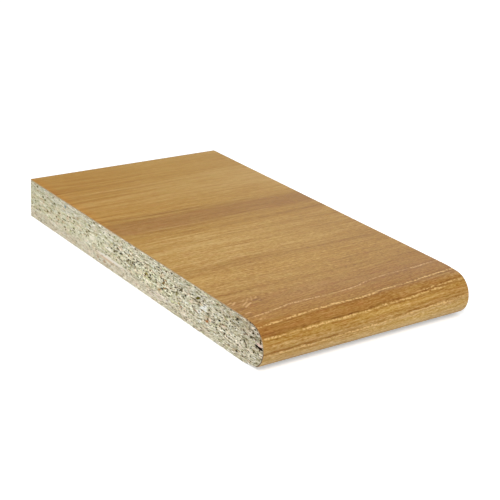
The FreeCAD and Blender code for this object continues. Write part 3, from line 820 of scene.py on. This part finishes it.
def laminate_material():
    """Satin laminate with an oak grain, and its brown core where the sheet is cut."""
    n = Nodes("WoodGrainLaminate")
    x, run, deep = n.split(n.attribute("sheet"))

    def scaled(by_x, by_run, across=run):
        return n.join(n.math("MULTIPLY", x, by_x), n.math("MULTIPLY", across, by_run))

    # Slow waves bend the bands, and short ones make the lines wander
    slow = n.noise(scaled(0.014, 0.03), 1.0, 1.0)
    short = n.noise(scaled(0.16, 0.22), 1.0, 4.0, 0.65)
    sway = n.math("MULTIPLY", n.math("SUBTRACT", slow, 0.5), n.spread(run, 195, 212, 6.0, 3.0))
    shiver = n.math("MULTIPLY", n.math("SUBTRACT", short, 0.5), 1.4)
    wandering = n.math("ADD", run, shiver)
    # The grain runs straight along the top and climbs with the rings near the nose
    climb = n.math("ADD", n.spread(run, 190, 206, 0.0, 0.08), n.spread(run, 213, 224, 0.0, -0.05))
    grain = n.math("ADD", n.math("MULTIPLY_ADD", x, climb, run), n.math("MULTIPLY_ADD", shiver, 0.6, sway))
    climb = n.math("ADD", n.spread(run, 195, 212, 0.0, 0.07), n.spread(run, 216, 224, 0.0, -0.04))
    tones = n.math("ADD", n.math("MULTIPLY_ADD", x, climb, run), n.math("ADD", sway, shiver))
    colour = n.ramp(n.math("MULTIPLY", tones, 1 / SHEET_LENGTH),
                    [(place / SHEET_LENGTH, colour) for place, colour in BANDS])
    redder = n.math("MULTIPLY", n.math("MULTIPLY", n.spread(run, 84, 112), n.spread(run, 214, 202)), n.spread(x, -25, 55))
    colour = n.blend(n.math("MULTIPLY", redder, 0.4), colour, RUSSET)
    paler = n.math("MULTIPLY", n.spread(run, 210, 216), n.math("MULTIPLY", n.spread(run, 223, 220), n.spread(x, -15, 55)))
    colour = n.blend(n.math("MULTIPLY", paler, 0.6), colour, srgb(168, 124, 62))
    # Painted reflection: the back of the top is deeper in colour to the left, where less sheen falls
    painted_low_sheen = n.math("MULTIPLY", n.spread(x, 15, -45), n.spread(run, 86, 72))
    colour = n.blend(painted_low_sheen, colour, (0.96, 0.90, 0.76), "MULTIPLY")
    arris = n.math("MULTIPLY", n.spread(x, -END + 7, -END), n.spread(run, 110, 60))
    colour = n.blend(arris, colour, (1.04, 0.94, 0.74), "MULTIPLY")
    deeper = n.math("MULTIPLY", n.math("MAXIMUM", n.spread(x, -50, 45), n.spread(run, 196, 204)), n.spread(run, 68, 94))
    deeper = n.math("MULTIPLY", deeper, n.math("MULTIPLY", n.spread(run, 230, 226), n.spread(run, 212, 219, 1.0, 0.6)))
    colour = n.blend(deeper, colour, (0.97, 0.95, 0.72), "MULTIPLY")
    scorched = n.math("MULTIPLY", n.spread(x, -54, -61), n.math("MULTIPLY", n.spread(run, 211, 218), n.spread(run, 227, 223)))
    colour = n.blend(scorched, colour, (0.96, 0.88, 0.76), "MULTIPLY")
    right = n.spread(x, 0, 55)
    for start, end, tone in ((184, 198, (0.985, 0.965, 0.90)), (198, 214, (0.95, 0.915, 0.88)), (223, 230, (0.96, 0.91, 0.91))):
        there = n.math("MULTIPLY", right, n.math("MULTIPLY", n.spread(run, start - 2, start + 3), n.spread(run, end + 2, end - 2)))
        colour = n.blend(there, colour, tone, "MULTIPLY")
    below = n.spread(run, 223, 226)
    for start, end, tone in ((-18, 8, (1.06, 1.075, 1.09)), (-5, -20, (0.97, 0.955, 0.94))):
        there = n.math("MULTIPLY", below, n.math("MULTIPLY", n.spread(x, start, end), n.spread(x, 50, 34)))
        colour = n.blend(there, colour, tone, "MULTIPLY")
    # Streaks along the grain, dapples and pores
    stripes = n.noise(scaled(0.011, 0.42, grain), 1.0, 3.0, 0.6)
    threads = n.noise(scaled(0.022, 1.25, grain), 1.0, 2.0, 0.55)
    flames = n.noise(scaled(0.06, 0.95, grain), 1.0, 3.0, 0.6)
    dapple = n.noise(scaled(0.24, 1.0, grain), 1.0, 3.0, 0.6)
    fine = n.noise(scaled(0.45, 2.2, grain), 1.0, 2.0, 0.6)
    figured = n.math("MULTIPLY", n.spread(x, -5, -40), n.math("MULTIPLY", n.spread(run, 148, 158), n.spread(run, 186, 176)))
    shade = 0.0
    left = n.math("MULTIPLY", n.spread(x, 15, -25), n.math("MULTIPLY", n.spread(run, 15, 30), n.spread(run, 160, 140)))
    for value, amount in ((stripes, n.math("MULTIPLY_ADD", left, 0.58, 0.62)), (threads, n.spread(run, 40, 190, 0.6, 1.2)), (flames, n.spread(run, 30, 120, 0.6, 0.95)),
                          (dapple, n.math("MULTIPLY_ADD", figured, 0.6, n.spread(run, 20, 120, 0.5, 0.85))),
                          (fine, n.math("MULTIPLY", n.spread(run, 40, 205, 0.3, 2.6), n.spread(run, 212, 222, 1.0, 0.75)))):
        shade = n.math("MULTIPLY_ADD", n.math("SUBTRACT", value, 0.5), amount, shade)
    tint = n.ramp(n.math("ADD", shade, 0.5), ((0.0, (0.69, 0.52, 0.12)), (0.5, (1.0, 1.0, 1.0)), (1.0, (1.32, 1.55, 2.9))), "LINEAR")
    colour = n.blend(1.0, colour, tint, "MULTIPLY")
    hue = n.noise(scaled(0.10, 0.36, grain), 1.0, 3.0, 0.6)
    colour = n.blend(n.spread(hue, 0.52, 0.72, 0.0, 0.22), colour, srgb(178, 112, 62))
    colour = n.blend(n.spread(hue, 0.48, 0.28, 0.0, 0.22), colour, srgb(172, 146, 64))
    along = n.math("MULTIPLY_ADD", x, 1 / LENGTH, 0.5)
    patches = n.noise(scaled(0.085, 0.5), 1.0, 2.0, 0.6)
    for points, half, near_end, far_end in STREAKS:
        off = n.math("ABSOLUTE", ring_offset(n, along, wandering, points))
        worn = n.math("MULTIPLY", n.spread(patches, 0.35, 0.6, 0.5, 1.0), n.spread(x, -45, 45, near_end, far_end))
        colour = n.blend(n.math("MULTIPLY", n.spread(off, half, 0.0), worn), colour, UMBER, "MULTIPLY")
    lines = 0.0
    beads = n.spread(n.noise(scaled(0.75, 0.9), 1.0, 1.0), 0.42, 0.54, 0.12, 1.0)
    for seed, ring in enumerate(RINGS):
        above = ring_offset(n, along, wandering, ring["points"])
        shown = 1.0
        if "since" in ring:
            shown = n.spread(x, ring["since"] - 3, ring["since"] + 3)
        if "until" in ring:
            shown = n.spread(x, ring["until"] + 4, ring["until"] - 4)
        worn = n.math("MULTIPLY", n.spread(n.noise(n.join(n.math("MULTIPLY", x, 0.12), seed * 9.1)), 0.36, 0.6, 0.3, 1.0), shown)
        for side, strength in ((1, ring["above"]), (-1, ring["below"])):
            off = n.math("ABSOLUTE", n.math("SUBTRACT", above, side * (ring["half"] + 0.5)))
            mark = n.math("MULTIPLY", n.spread(off, 0.95, 0.1), n.math("MULTIPLY", worn, strength))
            colour = n.blend(mark, colour, UMBER, "MULTIPLY")
        cream = 0.0
        for start in (0.0, 0.5):
            part, number = dashes(n, x, seed * 3.7 + start, ring["dash"], start)
            off = n.math("ABSOLUTE", n.math("MULTIPLY_ADD", part, ring["lift"], above))
            half = n.math("MULTIPLY_ADD", number, ring["half"] * 0.7, ring["half"] * 0.65)
            line = n.spread(n.math("DIVIDE", off, half), 1.3, 0.3)
            ends = n.spread(n.math("ABSOLUTE", part), 0.5, 0.3)
            strong = n.spread(n.math("FRACT", n.math("MULTIPLY", number, 7.3)), 0.0, 0.7, 0.4 * ring["cream"], ring["cream"])
            cream = n.math("MAXIMUM", cream, n.math("MULTIPLY", n.math("MULTIPLY", line, ends), strong))
        cream = n.math("MULTIPLY", n.math("MULTIPLY", cream, shown), beads)
        colour = n.blend(cream, colour, ring["tone"])
        lines = n.math("MAXIMUM", lines, cream)
    spot = n.join(x, run)
    pale = dark = 0.0
    for x0, r0, x1, r1, half, strength in FLECKS:
        mark = n.math("MULTIPLY", stroke(n, spot, (x0, r0), (x1, r1), half), 0.62 * abs(strength))
        if strength > 0:
            pale = n.math("MAXIMUM", pale, mark)
        else:
            dark = n.math("MAXIMUM", dark, mark)
    colour = n.blend(pale, colour, srgb(222, 180, 122))
    colour = n.blend(dark, colour, srgb(110, 62, 34))
    ticks = n.noise(scaled(0.28, 5.5), 1.0, 2.0, 0.5)
    pore = n.spread(ticks, 0.64, 0.74)
    colour = n.blend(n.math("MULTIPLY", pore, 0.28), colour, srgb(120, 78, 36))
    # Under the printed face the sheet is brown paper and resin, greyer where the nose has been handled
    cut = n.spread(deep, 0.05, 0.09)
    kraft = n.blend(n.spread(run, 165, 205), srgb(180, 146, 98), srgb(178, 146, 108))
    kraft = n.blend(n.spread(run, 226, 234), kraft, srgb(104, 84, 62))
    nicks = n.spread(n.noise(n.join(n.math("MULTIPLY", run, 0.75), 3.1), 1.0, 1.0), 0.46, 0.52)
    nicks = n.math("MULTIPLY", nicks, n.math("MULTIPLY", n.spread(run, 204, 212), n.spread(run, 227, 222)))
    kraft = n.blend(nicks, kraft, srgb(82, 48, 26))
    colour = n.blend(cut, colour, kraft)
    roughness = n.math("ADD", n.math("MULTIPLY", pore, 0.12), n.spread(fine, 0.3, 0.7, 0.36, 0.44))
    height = n.math("SUBTRACT", n.math("MULTIPLY", fine, 0.3), n.math("ADD", pore, n.math("MULTIPLY", lines, 0.6)))
    relief = n.bump(height, 0.00005, 0.5)
    return n.finish(colour, roughness, relief, **{"Specular IOR Level": 0.3})


# Studio

CAMERA_PLACE = (-370.879, -510.118, 259.828)
CAMERA_AZIMUTH = math.radians(-36.804)
CAMERA_ELEVATION = math.radians(21.772)
CAMERA_ROLL = math.radians(3.4745)
CAMERA_LENS = 92.092


def make_camera():
    """A long lens at the photograph's angle, rolled a little as it was held."""
    az, el = CAMERA_AZIMUTH, CAMERA_ELEVATION
    back = Vector((math.sin(az) * math.cos(el), -math.cos(az) * math.cos(el), math.sin(el)))
    level = Vector((0, 0, 1)).cross(back).normalized()
    upright = back.cross(level)
    right = level * math.cos(CAMERA_ROLL) + upright * math.sin(CAMERA_ROLL)
    up = upright * math.cos(CAMERA_ROLL) - level * math.sin(CAMERA_ROLL)
    data = bpy.data.cameras.new("Camera")
    data.lens = CAMERA_LENS
    data.sensor_width = 36
    camera = bpy.data.objects.new("Camera", data)
    bpy.context.scene.collection.objects.link(camera)
    turn = Matrix((right, up, back)).transposed().to_4x4()
    camera.matrix_world = Matrix.Translation(Vector(CAMERA_PLACE) * MM) @ turn
    bpy.context.scene.camera = camera


def make_lamp(name, place, size, power):
    """A soft square lamp aimed at the board's middle."""
    data = bpy.data.lights.new(name, "AREA")
    data.shape = "SQUARE"
    data.size = size
    data.energy = power
    lamp = bpy.data.objects.new(name, data)
    bpy.context.scene.collection.objects.link(lamp)
    lamp.location = place
    lamp.rotation_euler = (Vector((0, 0, 0.01)) - Vector(place)).to_track_quat("-Z", "Y").to_euler()


def make_floor():
    """A level white floor that keeps a soft shadow."""
    n = Nodes("Floor")
    diffuse = n.add("ShaderNodeBsdfDiffuse", {"Color": (0.86, 0.86, 0.86)})
    seen = n.add("ShaderNodeLightPath").outputs["Is Camera Ray"]
    glow = n.add("ShaderNodeEmission", {"Color": (1.0, 1.0, 1.0), "Strength": n.math("MULTIPLY", seen, 0.42)})
    both = n.add("ShaderNodeAddShader", {0: diffuse.outputs[0], 1: glow.outputs[0]})
    n.add("ShaderNodeOutputMaterial", {"Surface": both.outputs[0]})
    mesh = bpy.data.meshes.new("Floor")
    shape = bmesh.new()
    bmesh.ops.create_grid(shape, x_segments=4, y_segments=4, size=3.0)
    shape.to_mesh(mesh)
    shape.free()
    mesh.materials.append(n.material)
    floor = bpy.data.objects.new("Floor", mesh)
    floor.location.z = -0.0002
    bpy.context.scene.collection.objects.link(floor)


def make_world():
    """Even white light from all round, and a white backdrop."""
    world = bpy.data.worlds.new("World")
    bpy.context.scene.world = world
    world.use_nodes = True
    tree = world.node_tree
    tree.nodes.clear()
    background = tree.nodes.new("ShaderNodeBackground")
    background.inputs["Color"].default_value = (1, 1, 1, 1)
    path = tree.nodes.new("ShaderNodeLightPath")
    seen = tree.nodes.new("ShaderNodeMapRange")
    seen.inputs["To Min"].default_value = 0.35
    seen.inputs["To Max"].default_value = 1.0
    tree.links.new(path.outputs["Is Camera Ray"], seen.inputs["Value"])
    tree.links.new(seen.outputs[0], background.inputs["Strength"])
    output = tree.nodes.new("ShaderNodeOutputWorld")
    tree.links.new(background.outputs[0], output.inputs["Surface"])


bpy.context.scene.view_settings.view_transform = "Standard"
make_camera()
make_world()
make_floor()
make_lamp("Key", (-0.9, -0.9, 1.3), 0.9, 22.0)
make_lamp("Over", (0.0, 0.0, 1.6), 1.2, 5.0)
make_lamp("Fill", (0.9, -0.9, 1.0), 1.2, 2.0)
make_lamp("Sheen", (1.1, 0.9, 0.7), 0.8, 1.6)
build_core(chipboard_material())
build_laminate(laminate_material())
